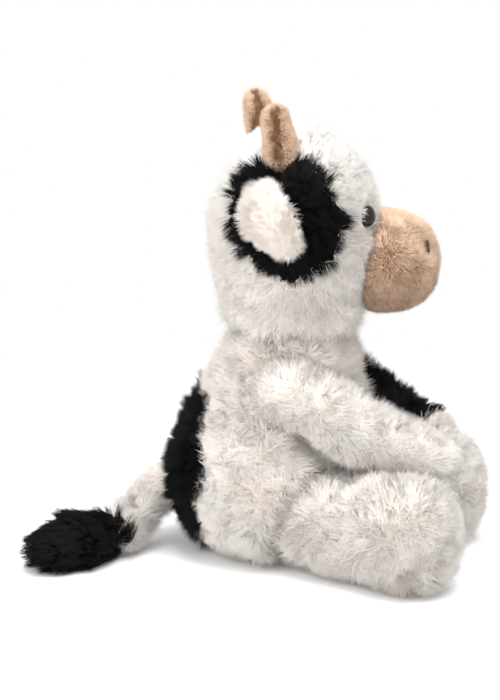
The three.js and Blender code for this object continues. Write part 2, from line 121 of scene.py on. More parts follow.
def ramp(values):
    return np.clip(values, 0, 1)


def farFrom(spot, points):
    return np.linalg.norm(points - np.array(spot), axis=1)


def unit(v):
    return v / np.maximum(np.linalg.norm(v, axis=-1, keepdims=True), 1e-12)


def flattenOn(v, n):
    return v - (v * n).sum(-1, keepdims=True) * n


def treeOf(*names):
    verts, faces = [], []
    for name in names:
        mesh = nodes[name].data
        start = len(verts)
        verts += [v.co.copy() for v in mesh.vertices]
        faces += [[start + i for i in p.vertices] for p in mesh.polygons]
    return BVHTree.FromPolygons(verts, faces)


def depthIn(tree, points):
    # how far each point lies outside a closed form, negative inside it
    out = np.empty(len(points))
    for i, p in enumerate(points):
        place, normal, _, gap = tree.find_nearest(Vector(p))
        out[i] = gap if (Vector(p) - place).dot(normal) > 0 else -gap
    return out


def gapTo(tree, points):
    return np.array([tree.find_nearest(Vector(p))[3] for p in points])


def softNoise(points, size, seed):
    shift = Vector([seed * k for k in noiseShift["soft"]])
    return np.array([noise.noise(Vector(p) / size + shift) for p in points])


def swirlNoise(points, size, seed):
    shift = Vector([seed * k for k in noiseShift["swirl"]])
    return np.array([noise.noise_vector(Vector(p) / size + shift) for p in points])


# sewn skins, taken from the frame's own solids
skinSetup = {"weld": 1e-6, "easeFactor": 0.6, "lowest": 0.0012}
clothSetup = {"quality": 4, "mass": 0.1, "pressure": 4, "frames": 16}


def sewnSkin(name, nodeNames, form):
    skin = joined([linked(name, nodes[nodeName].data.copy()) for nodeName in nodeNames])
    skin.data.materials.clear()
    bpy.ops.object.mode_set(mode="EDIT")
    bpy.ops.mesh.select_all(action="SELECT")
    bpy.ops.mesh.remove_doubles(threshold=skinSetup["weld"])
    bpy.ops.object.mode_set(mode="OBJECT")
    shaped(skin, "even", "REMESH", {"mode": "VOXEL", "voxel_size": form["voxel"]})
    keepOuter(skin)
    shaped(skin, "backing", "DISPLACE", {"strength": -form["sunk"], "mid_level": 0})
    shaped(skin, "ease", "SMOOTH", {"factor": skinSetup["easeFactor"], "iterations": form["ease"]})
    return skin


def keepOuter(skin):
    # the remesh can leave the inner walls as islands of their own
    bm = bmesh.new()
    bm.from_mesh(skin.data)
    left, islands = set(bm.verts), []
    while left:
        island = [left.pop()]
        for v in island:
            near = left.intersection(e.other_vert(v) for e in v.link_edges)
            left -= near
            island += near
        islands.append(island)
    largest = max(islands, key=lambda s: max(v.co.z for v in s) - min(v.co.z for v in s) + len(s) * 1e-7)
    bmesh.ops.delete(bm, geom=[v for s in islands if s is not largest for v in s], context="VERTS")
    bmesh.ops.recalc_face_normals(bm, faces=bm.faces)
    bm.to_mesh(skin.data)
    bm.free()


def pressStuffing(skin, form):
    # the cover swells between its seams, each point by the form's cap at most
    rest = coordinates(skin.data)
    beside = np.abs(rest - (rest.max(0) + rest.min(0)) / 2)[:, 1]
    seam = skin.vertex_groups.new(name="seam")
    seam.add([int(i) for i in np.nonzero(beside < form["seamWidth"])[0]], 1, "REPLACE")
    cloth = skin.modifiers.new("stuffing", "CLOTH")
    cloth.settings.quality = clothSetup["quality"]
    cloth.settings.mass = clothSetup["mass"]
    cloth.settings.use_pressure = True
    cloth.settings.uniform_pressure_force = clothSetup["pressure"]
    cloth.settings.vertex_group_mass = seam.name
    cloth.settings.effector_weights.gravity = 0
    cloth.collision_settings.use_collision = False
    cloth.point_cache.frame_start = 1
    cloth.point_cache.frame_end = clothSetup["frames"]
    for step in range(1, clothSetup["frames"] + 1):
        bpy.context.scene.frame_set(step)
    swollen = coordinates(skin.evaluated_get(bpy.context.evaluated_depsgraph_get()).data)
    skin.modifiers.remove(cloth)
    skin.vertex_groups.remove(seam)
    bpy.context.scene.frame_set(1)
    if len(swollen) != len(rest) or not np.isfinite(swollen).all():
        print("cow: stuffing kept its cut shape on", skin.name)
        return
    moved = swollen - rest
    far = np.linalg.norm(moved, axis=1, keepdims=True)
    setCoordinates(skin.data, rest + moved * np.minimum(1, form["cap"] / np.maximum(far, 1e-9)))


def finishSkin(skin, form):
    # the soft lumps of hand filling
    selectOnly(skin)
    co = coordinates(skin.data)
    rise = softNoise(co, form["lumpSize"], form["seed"]) * form["lumpHeight"]
    co = co + normalsOf(skin.data) * rise[:, None]
    co[:, 2] = np.maximum(co[:, 2], skinSetup["lowest"])
    setCoordinates(skin.data, co)
    bpy.ops.object.shade_smooth()


def filledSkin(name, nodeNames, form):
    skin = sewnSkin(name, nodeNames, form)
    if "cap" in form:
        pressStuffing(skin, form)
    finishSkin(skin, form)
    return skin


# pile
growth = {
    # the seat presses it flat, and strands shorter than the least share don't grow
    "seatLow": 0.004, "seatFacing": -0.75, "least": 0.08, "root": 0.0006,
    # pairs of a least value and what chance adds to it
    "clumpLong": (0.85, 0.3), "strandLong": (0.75, 0.5), "gather": (0.7, 0.6), "width": (0.7, 0.6),
    "tipLow": (0.0006, 0.002), "finer": 3, "fineShare": 0.6,
    "tipShare": 0.92, "floorReach": 0.014, "splayFrom": 0.8, "splay": (-0.1, 0.6),
    "rise": 0.22, "bendOut": 0.62, "bendAlong": 0.38, "middleLow": 0.0008, "spokes": (62, 180, 298),
    "rootOut": 0.9, "rootAlong": 0.2, "tipOut": 0.85, "tipAlong": 0.3,
    # on the strand map: the heights of root and middle, the shades, a strand's width and the edges
    "heights": (0.1, 0.5), "shades": (0.02, 0.98), "mapWidth": 0.004, "mapEdges": (0.001, 0.999),
}
backing = {"size": 0.02, "least": 0.05, "most": 0.9, "aside": 0.01, "low": 0.01, "high": 0.03}


def rootsOn(skin, density, seed):
    mesh = skin.data
    mesh.calc_loop_triangles()
    co = coordinates(mesh)
    normals = normalsOf(mesh)
    corner = read(mesh.loop_triangles, "vertices", 3)
    a, b, c = co[corner[:, 0]], co[corner[:, 1]], co[corner[:, 2]]
    area = np.linalg.norm(np.cross(b - a, c - a), axis=1) / 2
    chance = np.random.default_rng(seed)
    count = int(area.sum() * density * 1e6)  # the density is for a square millimetre
    # evenly spaced draws along the summed areas, so that no bald spots are left
    at = (np.arange(count) + chance.random(count)) / count * area.sum()
    tri = np.searchsorted(np.cumsum(area), at).clip(0, len(area) - 1)
    u, v = chance.random(count), chance.random(count)
    over = u + v > 1
    u[over], v[over] = 1 - u[over], 1 - v[over]
    w = np.stack([1 - u - v, u, v], 1)
    place = (co[corner[tri]] * w[:, :, None]).sum(1)
    out = unit((normals[corner[tri]] * w[:, :, None]).sum(1))
    return place, out


def clumpsFor(place, share, seed):
    chance = np.random.default_rng(seed + 77)
    centre = chance.choice(len(place), max(1, int(len(place) * share)), replace=False)
    tree = KDTree(len(centre))
    for i, k in enumerate(centre):
        tree.insert(Vector(place[k]), i)
    tree.balance()
    return centre, np.array([tree.find(Vector(p))[1] for p in place])


def growPile(skin, pile, reach=None, comb=None, tone=None):
    place, out = rootsOn(skin, pile["density"], pile["seed"])
    scale = np.ones(len(place)) if reach is None else reach(place, out)
    scale = np.where((place[:, 2] < growth["seatLow"]) & (out[:, 2] < growth["seatFacing"]), 0, scale)
    keep = scale > growth["least"]
    place, out, scale = place[keep], out[keep], scale[keep]
    count = len(place)
    chance = np.random.default_rng(pile["seed"] + 5)

    def drawn(what, size):
        least, more = growth[what]
        return least + more * chance.random(size)

    centre, clump = clumpsFor(place, pile["clumpShare"], pile["seed"])
    cp, cn = place[centre], out[centre]
    swirl = swirlNoise(cp, pile["swirlSize"], pile["seed"]) * pile["swirl"]
    finer = swirlNoise(cp, pile["swirlSize"] / growth["finer"], pile["seed"] + 9)
    swirl += finer * pile["swirl"] * growth["fineShare"]
    lay = np.array(pile["lay"], float) if comb is None else comb(cp, cn)
    lean = flattenOn(swirl + lay, cn)
    lean *= np.minimum(1, pile["leanMost"] / np.maximum(np.linalg.norm(lean, axis=1, keepdims=True), 1e-9))
    tufts = 1 + pile["tufts"] * softNoise(cp, pile["tuftSize"], pile["seed"] + 6)
    clumpLong = pile["length"] * drawn("clumpLong", len(cp)) * tufts
    clumpTip = cp + (cn + lean) * clumpLong[:, None] * growth["tipShare"]
    strandLong = pile["length"] * scale * drawn("strandLong", count) * tufts[clump]
    # long tufts spread where they meet the floor
    byFloor = ramp(1 - place[:, 2] / growth["floorReach"]) * ramp(1 + out[:, 2])
    strandLong *= 1 + byFloor * np.clip(tufts[clump] - growth["splayFrom"], *growth["splay"])
    jitter = chance.normal(size=(count, 3)) * pile["stray"]
    hand = pile["curl"] * np.where(chance.random(len(cp)) < 0.5, -1, 1)
    turn = unit(np.cross(out, place - cp[clump])) * hand[clump][:, None]
    ownWay = out + lean[clump] + turn + jitter
    gather = (pile["gather"] * drawn("gather", count))[:, None]
    way = unit(unit(ownWay) * (1 - gather) + unit(clumpTip[clump] - place) * gather)
    way = unit(way + out * np.maximum(0, growth["rise"] - (way * out).sum(1))[:, None])
    tip = place + way * strandLong[:, None]
    middle = place + (out * growth["bendOut"] + way * growth["bendAlong"]) * (strandLong * 0.5)[:, None]
    tip[:, 2] = np.maximum(tip[:, 2], drawn("tipLow", count))
    middle[:, 2] = np.maximum(middle[:, 2], growth["middleLow"])
    course = unit(tip - place)
    above = unit(flattenOn(out + chance.normal(size=(count, 3)) * pile["roll"], course))
    across = np.cross(course, above)
    wide = pile["width"] / 2 * drawn("width", count)
    # each strand is three sided, with its broad side up
    spokes = [above * math.cos(t) + across * math.sin(t) for t in np.radians(growth["spokes"])]
    layers = [(place - out * growth["root"], wide)]
    low, half = growth["heights"]
    faces, heights = [(0, 1, 3), (1, 2, 3), (2, 0, 3)], [low] * 3 + [1]
    if pile["bent"]:
        layers.append((middle, wide * pile["belly"]))
        faces = [(0, 1, 4, 3), (1, 2, 5, 4), (2, 0, 3, 5), (3, 4, 6), (4, 5, 6), (5, 3, 6)]
        heights = [low] * 3 + [half] * 3 + [1]
    rings = [p + s * w[:, None] for p, w in layers for s in spokes] + [tip]
    verts = np.stack(rings, 1).reshape(-1, 3)
    perStrand = len(rings)
    soft = [out * growth["rootOut"] + s * pile["round"] + way * growth["rootAlong"] for _ in layers for s in spokes]
    soft.append(out * growth["tipOut"] + way * growth["tipAlong"])
    normals = unit(np.stack(soft, 1)).reshape(-1, 3)
    shade = 0.5 + pile["shadeSwing"] * softNoise(cp, pile["shadeSize"], pile["seed"] + 3)
    shade = shade + chance.normal(size=len(cp)) * pile["shadeClump"]
    if tone is not None:
        shade = shade + tone(cp, cn)
    shade = shade[clump] + chance.normal(size=count) * pile["shadeStrand"]
    shade = np.clip(shade, *growth["shades"])
    flat = [i for f in faces for i in f]
    loopVerts = (np.arange(count)[:, None] * perStrand + np.array(flat)[None, :]).ravel()
    sizes = np.tile([len(f) for f in faces], count)
    side = np.array([(i % 3 - 1) * growth["mapWidth"] if i < perStrand - 1 else 0 for i in flat])
    u = np.clip(shade[:, None] + side[None, :], *growth["mapEdges"]).ravel()
    v = np.tile([heights[i] for i in flat], count)
    uv = np.stack([u, v], 1)
    return {"verts": verts, "normals": normals, "loops": loopVerts, "sizes": sizes, "uv": uv, "count": count}


def dressed(name, skin, strands, seed):
    # the backing and its strands as one mesh, with soft normals and the strand map
    mesh = skin.data
    co = coordinates(mesh)
    base = len(co)
    loopTotal, loopVert = read(mesh.polygons, "loop_total"), read(mesh.loops, "vertex_index")
    centres = read(mesh.polygons, "center", 3, float)
    shade = np.clip(0.5 + 0.5 * softNoise(centres, backing["size"], seed), backing["least"], backing["most"])
    first = np.concatenate([[0], np.cumsum(loopTotal)[:-1]])
    place = np.arange(len(loopVert)) - np.repeat(first, loopTotal)
    # the backing sits at the roots on the strand map, so it takes the root colour with its painted shade
    u = np.repeat(shade, loopTotal) + np.array([0, backing["aside"], backing["aside"], 0])[place % 4]
    v = backing["low"] + np.array([0, 0, backing["high"], backing["high"]])[place % 4]
    verts = np.vstack([co, strands["verts"]])
    loops = np.concatenate([loopVert, strands["loops"] + base])
    sizes = np.concatenate([loopTotal, strands["sizes"]])
    uv = np.vstack([np.stack([u, v], 1), strands["uv"]])
    normals = np.vstack([normalsOf(mesh), strands["normals"]])
    made = bpy.data.meshes.new(name)
    made.vertices.add(len(verts))
    made.vertices.foreach_set("co", verts.astype(np.float32).ravel())
    made.loops.add(len(loops))
    made.loops.foreach_set("vertex_index", loops.astype(np.int32))
    made.polygons.add(len(sizes))
    starts = np.concatenate([[0], np.cumsum(sizes)[:-1]])
    made.polygons.foreach_set("loop_start", starts.astype(np.int32))
    made.polygons.foreach_set("loop_total", sizes.astype(np.int32))
    made.update(calc_edges=True)
    for mapName in ("strand", "OFBake"):
        layer = made.uv_layers.new(name=mapName, do_init=False)
        layer.data.foreach_set("uv", uv.astype(np.float32).ravel())
    made.polygons.foreach_set("use_smooth", np.ones(len(sizes), bool))
    made.normals_split_custom_set_from_vertices(normals.astype(np.float32).tolist())
    made.update()
    old = skin.data
    skin.data = made
    bpy.data.meshes.remove(old)
    skin.name = name
    print("cow:", name, strands["count"], "strands,", int((sizes - 2).sum()), "triangles")
    return skin


def wear(piece, body, look, stoodFor):
    slot, material = look
    piece.data.materials.clear()
    piece.data.materials.append(material)
    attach(piece, body)
    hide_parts(*stoodFor)


def settle(name, skin, strands, seed, body, look, stoodFor):
    piece = dressed(name, skin, strands, seed)
    wear(piece, body, look, stoodFor)


# materials
def colour(r, g, b):
    def lin(c):
        c = c / 255
        return c / 12.92 if c <= 0.04045 else ((c + 0.055) / 1.055) ** 2.4

    return (lin(r), lin(g), lin(b), 1)


def feed(tree, node, given):
    # each input takes a value, or the socket that leads to it
    for key, value in given.items():
        if isinstance(value, bpy.types.NodeSocket):
            tree.links.new(value, node.inputs[key])
        else:
            node.inputs[key].default_value = value


def add(tree, kind, given, **properties):
    node = tree.nodes.new("ShaderNode" + kind)
    for key, value in properties.items():
        setattr(node, key, value)
    feed(tree, node, given)
    return node.outputs


def newMaterial(name):
    material = bpy.data.materials.new(name)
    material.use_nodes = True
    material.node_tree.nodes.clear()
    return material, material.node_tree


def cover(tree, shader):
    feed(tree, tree.nodes.new("ShaderNodeOutputMaterial"), {0: shader[0]})


def patterned(name, look):
    # a finish whose colour follows a pattern over the object
    material, tree = newMaterial(name)
    place = add(tree, "TexCoord", {})["Object"]
    pattern = add(tree, look["pattern"], {"Vector": place, **look["set"]}, **look.get("way", {}))["Fac"]
    tone = tree.nodes.new("ShaderNodeValToRGB")
    for element, shade in zip(tone.color_ramp.elements, look["colours"]):
        element.color = colour(*shade)
    feed(tree, tone, {0: pattern})
    surface = {"Base Color": tone.outputs[0], **look["shader"]}
    if "bump" in look:
        surface["Normal"] = add(tree, "Bump", {"Distance": look["bump"], "Height": pattern})[0]
    if "smear" in look:
        low, high = look["smear"]
        surface["Roughness"] = add(tree, "MapRange", {"Value": pattern, "To Min": low, "To Max": high})[0]
    cover(tree, add(tree, "BsdfPrincipled", surface))
    return material


pileSockets = {
    "INPUT": {
        "Strand": "Vector", "Root": "Color", "Tip": "Color", "Shaded": "Color",
        "Root reach": "Float", "Streaks": "Float",
    },
    "OUTPUT": {"Colour": "Color", "Roughness": "Float", "Height": "Float"},
}


def makePileGroup():
    group = bpy.data.node_groups.new("pileShade", "ShaderNodeTree")
    for way, sockets in pileSockets.items():
        for socketName, kind in sockets.items():
            group.interface.new_socket(name=socketName, in_out=way, socket_type="NodeSocket" + kind)
    given = group.nodes.new("NodeGroupInput").outputs
    split = add(group, "SeparateXYZ", {0: given["Strand"]})
    # painted shade: each strand runs from the Root colour, the shade deep in the pile between the strands, to its own
    # tint over the root reach
    reach = {"Value": split["Y"], "From Max": given["Root reach"]}
    height = add(group, "MapRange", reach, interpolation_type="SMOOTHSTEP")[0]
    tints = {"Factor": split["X"], "A": given["Shaded"], "B": given["Tip"]}
    tint = add(group, "Mix", tints, data_type="RGBA")["Result"]
    deep = add(group, "Mix", {"Factor": height, "A": given["Root"], "B": tint}, data_type="RGBA")["Result"]
    stretch = add(group, "Mapping", {"Vector": given["Strand"], "Scale": (160, 5, 1)})[0]
    streak = add(group, "TexNoise", {"Vector": stretch, "Scale": 1, "Detail": 2})["Fac"]
    centred = add(group, "Math", {0: streak, 1: 0.5}, operation="SUBTRACT")[0]
    amount = add(group, "Math", {0: centred, 1: given["Streaks"], 2: 1}, operation="MULTIPLY_ADD")[0]
    scaled = add(group, "VectorMath", {0: deep, "Scale": amount}, operation="SCALE")[0]
    rough = add(group, "MapRange", {"Value": height, "To Min": 0.95, "To Max": 0.72})[0]
    feed(group, group.nodes.new("NodeGroupOutput"), {"Colour": scaled, "Roughness": rough, "Height": streak})
    return group


pileGroup = makePileGroup()


def plush(name, look):
    material, tree = newMaterial(name)
    shade = add(tree, "Group", {
        "Strand": add(tree, "UVMap", {}, uv_map="strand")[0], "Root": look["root"], "Tip": look["tip"],
        "Shaded": look["shaded"], "Root reach": look["rootReach"], "Streaks": look["streaks"],
    }, node_tree=pileGroup)
    bump = add(tree, "Bump", {"Strength": look["bump"], "Distance": 0.0003, "Height": shade["Height"]})[0]
    cover(tree, add(tree, "BsdfPrincipled", {
        "Base Color": shade["Colour"], "Roughness": shade["Roughness"], "Normal": bump,
        "Specular IOR Level": look["gloss"], "Sheen Weight": look["sheen"], "Sheen Roughness": 0.5,
        "Sheen Tint": look["tip"],
    }))
    return material


# each root colour is painted shade, deep in the pile between the strands
whitePlush = ("white_plush", plush("white long pile plush", {
    "root": colour(236, 222, 211), "tip": colour(255, 252, 247), "shaded": colour(246, 235, 226),
    "rootReach": 0.45, "streaks": 0.06, "bump": 0.2, "gloss": 0.2, "sheen": 0.35,
}))
blackPlush = ("black_plush", plush("black long pile plush", {
    "root": colour(4, 4, 5), "tip": colour(18, 18, 20), "shaded": colour(8, 8, 9),
    "rootReach": 0.9, "streaks": 0.5, "bump": 0.3, "gloss": 0.18, "sheen": 0.04,
}))
tanPlush = ("tan_plush", plush("tan short pile plush", {
    "root": colour(146, 110, 84), "tip": colour(250, 217, 188), "shaded": colour(120, 88, 66),
    "rootReach": 0.6, "streaks": 0.18, "bump": 0.3, "gloss": 0.2, "sheen": 0.12,
}))
print("cow: plush finishes mixed")

# torso and back patch
legForm = {
    "voxel": 0.0034, "sunk": 0.0032, "ease": 5, "cap": 0.0014, "seamWidth": 0.0022,
    "lumpSize": 0.020, "lumpHeight": 0.0013, "seed": 27,
}
torsoForm = {**legForm, "ease": 6, "cap": 0.0016, "lumpSize": 0.022, "lumpHeight": 0.0014, "seed": 4}
torsoTrim = {"neck": (0.0005, 0.003), "beside": (0.006, 0.45), "chin": (-0.30, 0.106, 0.016)}
panelSetup = {"inset": 0.0015, "rise": 0.0009, "spread": {"back": 1.1, "head": 0.75, "arm": 0.6}}
combing = {"spread": 0.03, "least": 0.2, "down": 0.15, "toLimb": (0.012, 1.2), "rim": (0.5, 0.010)}
shaggy = {
    "density": 4.1, "length": 0.0080, "width": 0.00047, "belly": 0.8, "bent": False,
    "clumpShare": 0.024, "gather": 0.24, "curl": 0.55, "swirl": 1.4, "swirlSize": 0.009,
    "lay": (0, 0, -0.15), "leanMost": 1.2, "stray": 0.42, "tuftSize": 0.007, "tufts": 0.36, "round": 0.15, "roll": 0.3,
    "shadeSize": 0.014, "shadeSwing": 0.5, "shadeClump": 0.1, "shadeStrand": 0.06, "seed": 11,
}
patchFur = {
    **shaggy, "length": 0.0074, "density": 4.4, "swirl": 1.3, "gather": 0.5, "curl": 0.2,
    "tufts": 0.8, "stray": 0.3, "seed": 31, "lay": (0, 0, -0.2),
}

headTree = treeOf("head_cover", "head_patch")
torsoWhite, torsoBlack = treeOf("torso_cover"), treeOf("back_patch")


def nearNeck(points):
    # pile gets short where the head sits down on the shoulders
    sunk, over = torsoTrim["neck"]
    return ramp((depthIn(headTree, points) + sunk) / over)


def insidePanel(panel, around, points, inset):
    # the panel's own pile starts a little inside its seam, so that its fringe ends about on the seam
    away = gapTo(around, points)
    return np.where((gapTo(panel, points) < away) & (away > inset), 1.0, 0.0)


def backReach(points, out):
    return insidePanel(torsoBlack, torsoWhite, points, panelSetup["inset"])


def torsoReach(points, out):
    # the white pile is kept short beside the black panel, so that the panel's fringe shows
    wide, less = torsoTrim["beside"]
    beside = ramp(1 - gapTo(torsoBlack, points) / wide)
    return (1 - backReach(points, out)) * nearNeck(points) * shortInNook(points) * (1 - less * beside)


def chinShade(points, out):
    # painted shade: the pile is greyer below the chin, where the head shades it
    tint, high, wide = torsoTrim["chin"]
    return tint * np.exp(-(((points[:, 2] - high) / wide) ** 2))


def spreadFrom(centre, strength, down=combing["down"]):
    def comb(points, out):
        away = flattenOn(points - np.array(centre), out)
        far = np.linalg.norm(away, axis=1, keepdims=True)
        share = np.clip(far / combing["spread"], combing["least"], 1)
        return unit(away) * strength * share + np.array([0, 0, -down])

    return comb


shoulder, hip = (0.027, 0.037, 0.094), (0.035, 0.028, 0.027)


def onSide(spot, hand):
    return (spot[0], spot[1] * hand, spot[2])


limbSeat = {
    "rise": (0.0072, 0.0072, 0.0095, 0.0095), "reach": (0.015, 0.015, 0.019, 0.019), "pressed": 0.0048,
    "balls": [(onSide(spot, hand), radius) for spot, radius in ((shoulder, 0.017), (hip, 0.024)) for hand in (-1, 1)],
    "facing": (0.85, 0.4), "slack": 0.0042,
}
limbTrees = [
    treeOf("arm_cover_right"), treeOf("arm_cover_left", "arm_patch_left"),
    treeOf("leg_cover_right"), treeOf("leg_cover_left"),
]


def towardLimb(tree, points):
    # the vectors and the distances to a limb
    found = [tree.find_nearest(Vector(p)) for p in points]
    return np.array([f[0] for f in found]) - points, np.array([f[3] for f in found])


def longerWithin(gap):
    # pile is longer on both sides of the seam between body and limb
    more, wide = combing["rim"]
    return 1 + more * ramp(1 - gap / wide)


def torsoComb(points, out):
    # round the limbs the body's pile stands longer and laps over their roots
    way = np.tile(np.array(shaggy["lay"], float), (len(points), 1))
    wide, strength = combing["toLimb"]
    for tree in limbTrees:
        toward, gap = towardLimb(tree, points)
        way += unit(toward) * ramp(1 - gap[:, None] / wide) * strength
    return way


nook = {
    "path": ((0.033, 0.044, 0.074), (0.042, 0.038, 0.064), (0.050, 0.037, 0.056), (0.060, 0.050, 0.053)),
    "reach": 0.011, "depth": 0.0075, "limbDepth": 0.0022, "pile": 0.4, "steep": 1.5,
}


def inNook(points):
    # the hollow under an arm, over the waist and the thigh, on both sides
    folded = points * np.array((1, 0, 1)) + np.abs(points) * np.array((0, 1, 0))
    away = np.full(len(points), 1.0)
    for start, end in zip(nook["path"], nook["path"][1:]):
        start, along = np.array(start), np.array(end) - np.array(start)
        share = ramp((folded - start) @ along / (along @ along))[:, None]
        away = np.minimum(away, np.linalg.norm(folded - start - share * along, axis=1))
    return ramp(nook["steep"] - nook["steep"] * away / nook["reach"])


def shortInNook(points):
    return 1 - (1 - nook["pile"]) * inNook(points)


def pressNook(skin):
    co = coordinates(skin.data)
    setCoordinates(skin.data, co - normalsOf(skin.data) * (inNook(co) * nook["limbDepth"])[:, None])


def riseToLimbs(skin):
    # the filling pushes the body's cover up round each limb's seam
    co = coordinates(skin.data)
    normals = normalsOf(skin.data)
    rise = np.zeros(len(co))
    for tree, most, reach in zip(limbTrees, limbSeat["rise"], limbSeat["reach"]):
        toward, gap = towardLimb(tree, co)
        facing, over = limbSeat["facing"]
        beside = ramp((facing - (unit(toward) * normals).sum(1)) / over)
        rise = np.maximum(rise, beside * ramp(1 - gap / reach) ** 2 * most)
    hollow = inNook(co)
    setCoordinates(skin.data, co + normals * (rise * (1 - hollow) - hollow * nook["depth"])[:, None])


def outOfSeats(points, out):
    # 0 where a point lies in a limb's round seat with the other piece right in front of it, else 1
    grows = np.ones(len(points))
    for centre, radius in limbSeat["balls"]:
        for i in np.nonzero(farFrom(centre, points) < radius + limbSeat["slack"])[0]:
            for tree in limbTrees:
                if tree.ray_cast(Vector(points[i]), Vector(out[i]), limbSeat["pressed"])[0] is not None:
                    grows[i] = 0
    return grows


def whiteReach(points, out):
    gap = np.min([np.abs(depthIn(tree, points)) for tree in limbTrees], axis=0)
    return torsoReach(points, out) * longerWithin(gap) * outOfSeats(points, out)


torsoSkin = filledSkin("torso_pelt", ["torso_cover", "back_patch", "torso_fill"], torsoForm)
riseToLimbs(torsoSkin)
backCentre = sum(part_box("back_patch"), Vector()) / 2
backStrands = growPile(torsoSkin, patchFur, backReach, spreadFrom(backCentre, panelSetup["spread"]["back"]))
torsoStrands = growPile(torsoSkin, shaggy, whiteReach, torsoComb, chinShade)


def panelSkin(name, source, wanted):
    # the part of a skin that a sewn-in panel covers, lifted off it and given a thickness
    piece = linked(name, source.data.copy())
    bm = bmesh.new()
    bm.from_mesh(piece.data)
    centres = [f.calc_center_median() for f in bm.faces]
    take = wanted(np.array(centres), np.array([f.normal for f in bm.faces])) > 0.5
    bmesh.ops.delete(bm, geom=[f for f, t in zip(list(bm.faces), take) if not t], context="FACES")
    bm.to_mesh(piece.data)
    bm.free()
    selectOnly(piece)
    shaped(piece, "thick", "SOLIDIFY", {"thickness": panelSetup["rise"], "offset": 1})
    bpy.ops.object.shade_smooth()
    return piece


backPanel = panelSkin("back_patch_pelt", torsoSkin, backReach)
settle("torso_pelt", torsoSkin, torsoStrands, 1, "torso", whitePlush, ["torso_cover", "torso_fill", "bean_bag"])
settle("back_patch_pelt", backPanel, backStrands, 2, "torso", blackPlush, ["back_patch"])

# head and head patch
headForm = {**legForm, "sunk": 0.0030, "lumpSize": 0.024, "lumpHeight": 0.0010, "seed": 8}
headFur = {
    **shaggy, "length": 0.0064, "swirl": 0.7, "tufts": 0.22, "seed": 41, "lay": (-0.15, 0, -0.3),
    "shadeSwing": 0.3, "shadeClump": 0.1,
}
headWhiteTree, headBlackTree = treeOf("head_cover"), treeOf("head_patch")
headPatchCentre = sum(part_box("head_patch"), Vector()) / 2
muzzleTree = treeOf("muzzle_cover")
hornTrees = [treeOf("horn_cover_right"), treeOf("horn_cover_left")]
headAhead = Vector((math.cos(math.radians(18)), math.sin(math.radians(18)), 0))
eyeSeat = {"slide": 0.0025, "turn": 20, "high": 0.0044}
faceTrim = {"eyeDeep": 0.004, "eye": (0.0058, 0.005), "muzzle": (0.0002, 0.003), "horn": (0.0012, 0.001)}
eyeSpots = []
for side, hand in sides.items():
    # the pile's pull turns each eye a little outwards from its shank
    washerAt = sum(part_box("eye_washer_" + side), Vector()) / 2
    apex = max((v.co.copy() for v in nodes["eye_" + side].data.vertices), key=lambda p: (p - washerAt).length)
    way = (apex - washerAt).normalized()
    middle = apex - way * eyeSeat["high"] + way.cross(Vector((0, 0, -hand))).normalized() * eyeSeat["slide"]
    way = Matrix.Rotation(math.radians(eyeSeat["turn"] * hand), 3, "Z") @ way
    eyeSpots.append({"side": side, "apex": middle + way * eyeSeat["high"], "way": way})


def clearOfFace(points):
    # no strand grows under the muzzle or a horn, and those round an eye are trimmed
    gap, over = faceTrim["muzzle"]
    open = ramp((depthIn(muzzleTree, points) - gap) / over)
    gap, over = faceTrim["horn"]
    for tree in hornTrees:
        open = np.minimum(open, ramp((depthIn(tree, points) + gap) / over))
    gap, over = faceTrim["eye"]
    for eye in eyeSpots:
        far = farFrom(eye["apex"] - eye["way"] * faceTrim["eyeDeep"], points)
        open = np.minimum(open, ramp((far - gap) / over))
    return open


panelTrim = {"inset": 0.0025, "ragged": (0.007, 0.002), "corners": [
    {"way": (-0.75, 0, 0.65), "start": 0.012, "over": 0.018, "inset": 0.006},
    {"way": (-0.77, 0, -0.64), "start": 0.016, "over": 0.012, "inset": 0.009},
    {"way": (0.92, 0, 0.38), "start": 0.016, "over": 0.012, "inset": 0.0055},
]}


def headPanel(points):
    # the black pile stops short of the panel's seam at the back, over and under the ear
    inset = np.full(len(points), panelTrim["inset"])
    for corner in panelTrim["corners"]:
        reach = (points - np.array(headPatchCentre)) @ unit(np.array(corner["way"]))
        inset += corner["inset"] * ramp((reach - corner["start"]) / corner["over"])
    size, most = panelTrim["ragged"]
    inset += softNoise(points, size, 53) * most
    return insidePanel(headBlackTree, headWhiteTree, points, inset)


headTrim = {
    # the rim under the jaw: height, half its breadth, more length, raggedness and its size
    "rim": (0.127, 0.010), "rimLong": (0.45, 0.9, 0.008), "facingDown": -0.8, "crown": (0.19, 0.025, 0.35),
    # tint: the strength, start height and rise of the painted light on the crown
    "jaw": (0.136, 1.15), "chin": (0.124, 0.4), "tint": (0.35, 0.180, 0.020), "fromEye": (0.016, 1.4), "rimLean": -0.8,
}


def headRim(points):
    high, half = headTrim["rim"]
    return ramp(1 - np.abs(points[:, 2] - high) / half)


def crownLight(points, out):
    # painted light: the crown's pile is lighter from the given height upwards, where the light from above falls on it
    tint, high, over = headTrim["tint"]
    return tint * ramp((points[:, 2] - high) / over)


def headReach(points, out):
    z, down = points[:, 2], out[:, 2] < headTrim["facingDown"]
    (jaw, jawLong), (chin, chinLong), (top, over, less) = (headTrim[k] for k in ("jaw", "chin", "crown"))
    more, ragged, size = headTrim["rimLong"]
    under = np.where(z < jaw, jawLong, 1.0) * np.where((z < chin) & down, chinLong, 1.0)
    under += headRim(points) * (more + ragged * softNoise(points, size, 57)) * (out[:, 2] > headTrim["facingDown"])
    crown = 1 - less * ramp((z - top) / over)
    return (1 - headPanel(points)) * clearOfFace(points) * under * crown


def headPatchReach(points, out):
    return headPanel(points) * clearOfFace(points)


